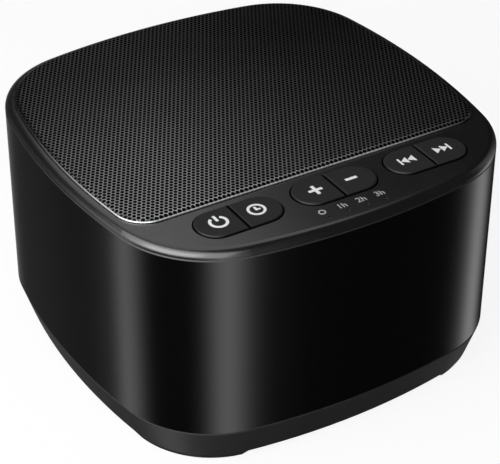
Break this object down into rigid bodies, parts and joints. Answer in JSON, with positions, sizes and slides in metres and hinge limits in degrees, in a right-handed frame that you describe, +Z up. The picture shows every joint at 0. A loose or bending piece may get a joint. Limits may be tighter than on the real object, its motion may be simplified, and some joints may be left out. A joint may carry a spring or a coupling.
{
  "type": "white noise sound machine",
  "caption": "Table-top white noise sound machine: square case with bulging sides, loudspeaker under a metal grille, and push keys along the front edge of its deck.",
  "frame": {"origin": "middle of the footprint, on the table under the foot pads", "axes": "+Z up, -Y towards the front edge with the keys, +X to the right of someone using the keys"},
  "size_m": [0.102, 0.102, 0.0609],
  "materials": {
    "matte_case": "fine matte mould texture",
    "gloss_case": "polished",
    "deck_plastic": "satin mould texture",
    "key_plastic": "satin, soft touch",
    "grille_metal": "perforated steel, satin black paint",
    "cloth": "open black weave",
    "rubber_pad": "matte",
    "plunger_plastic": "moulded",
    "switch_plastic": "moulded",
    "plated_steel": "zinc plated",
    "foam": "closed-cell foam",
    "ferrite": "ground ferrite",
    "terminal_board": "phenolic board",
    "screw_steel": "zinc plated",
    "cone_paper": "pressed black paper",
    "coil_copper": "lacquered winding",
    "surround_rubber": "matte",
    "spider_cloth": "resin-treated cotton",
    "circuit_board": "solder mask",
    "led_white": "moulded lens",
    "clear_guide": "clear acrylic",
    "connector_plastic": "moulded nylon",
    "chip_resin": "moulded resin",
    "capacitor_can": "sleeved can",
    "socket_steel": "tin plated",
    "socket_plastic": "moulded",
    "lead_red": "insulation",
    "lead_black": "insulation",
    "ribbon_grey": "insulation"
  },
  "bodies": {
    "case": {"amplifier_chip": "chip_resin", "base_pan": "matte_case", "base_screws": "screw_steel", "capacitors": "capacitor_can", "cover_screws": "screw_steel", "dust_cloth": "cloth", "foot_pad_front_left": "rubber_pad", "foot_pad_front_right": "rubber_pad", "foot_pad_rear_left": "rubber_pad", "foot_pad_rear_right": "rubber_pad", "grille": "grille_metal", "housing_wall": "gloss_case", "indicator_leds": "led_white", "key_board": "circuit_board", "key_board_header": "connector_plastic", "key_board_screws": "screw_steel", "light_guide": "clear_guide", "main_board": "circuit_board", "main_board_header": "connector_plastic", "main_board_screws": "screw_steel", "memory_chip": "chip_resin", "power_socket": "socket_steel", "ribbon_cable": "ribbon_grey", "socket_tongue": "socket_plastic", "sound_chip": "chip_resin", "speaker_basket": "plated_steel", "speaker_gasket": "foam", "speaker_header": "connector_plastic", "speaker_lead_black": "lead_black", "speaker_lead_red": "lead_red", "speaker_magnet": "ferrite", "speaker_screws": "screw_steel", "speaker_terminal": "terminal_board", "speaker_top_plate": "plated_steel", "speaker_yoke": "plated_steel", "switch_next": "switch_plastic", "switch_power": "switch_plastic", "switch_previous": "switch_plastic", "switch_timer": "switch_plastic", "switch_volume_down": "switch_plastic", "switch_volume_up": "switch_plastic", "top_cover": "deck_plastic"},
    "power_key": {"key_power": "key_plastic", "plunger_power": "plunger_plastic"},
    "timer_key": {"key_timer": "key_plastic", "plunger_timer": "plunger_plastic"},
    "volume_up_key": {"key_volume_up": "key_plastic", "plunger_volume_up": "plunger_plastic"},
    "volume_down_key": {"key_volume_down": "key_plastic", "plunger_volume_down": "plunger_plastic"},
    "previous_key": {"key_previous": "key_plastic", "plunger_previous": "plunger_plastic"},
    "next_key": {"key_next": "key_plastic", "plunger_next": "plunger_plastic"},
    "cone": {"speaker_cone": "cone_paper", "dust_cap": "cone_paper", "voice_coil": "coil_copper", "speaker_surround": "surround_rubber", "speaker_spider": "spider_cloth"}
  },
  "joints": [
    {"name": "power_press", "type": "slide", "parent": "case", "child": "power_key", "axis": [0, 0, -1], "range_m": [0, 0.0004], "stiffness_N_per_m": 2500},
    {"name": "timer_press", "type": "slide", "parent": "case", "child": "timer_key", "axis": [0, 0, -1], "range_m": [0, 0.0004], "stiffness_N_per_m": 2500},
    {"name": "volume_up_press", "type": "slide", "parent": "case", "child": "volume_up_key", "axis": [0, 0, -1], "range_m": [0, 0.0004], "stiffness_N_per_m": 2500},
    {"name": "volume_down_press", "type": "slide", "parent": "case", "child": "volume_down_key", "axis": [0, 0, -1], "range_m": [0, 0.0004], "stiffness_N_per_m": 2500},
    {"name": "previous_press", "type": "slide", "parent": "case", "child": "previous_key", "axis": [0, 0, -1], "range_m": [0, 0.0004], "stiffness_N_per_m": 2500},
    {"name": "next_press", "type": "slide", "parent": "case", "child": "next_key", "axis": [0, 0, -1], "range_m": [0, 0.0004], "stiffness_N_per_m": 2500},
    {"name": "cone_stroke", "type": "slide", "parent": "case", "child": "cone", "axis": [0, 0, 1], "range_m": [-0.0015, 0.0015], "stiffness_N_per_m": 1500, "deforming": ["speaker_surround", "speaker_spider"]}
  ]
}
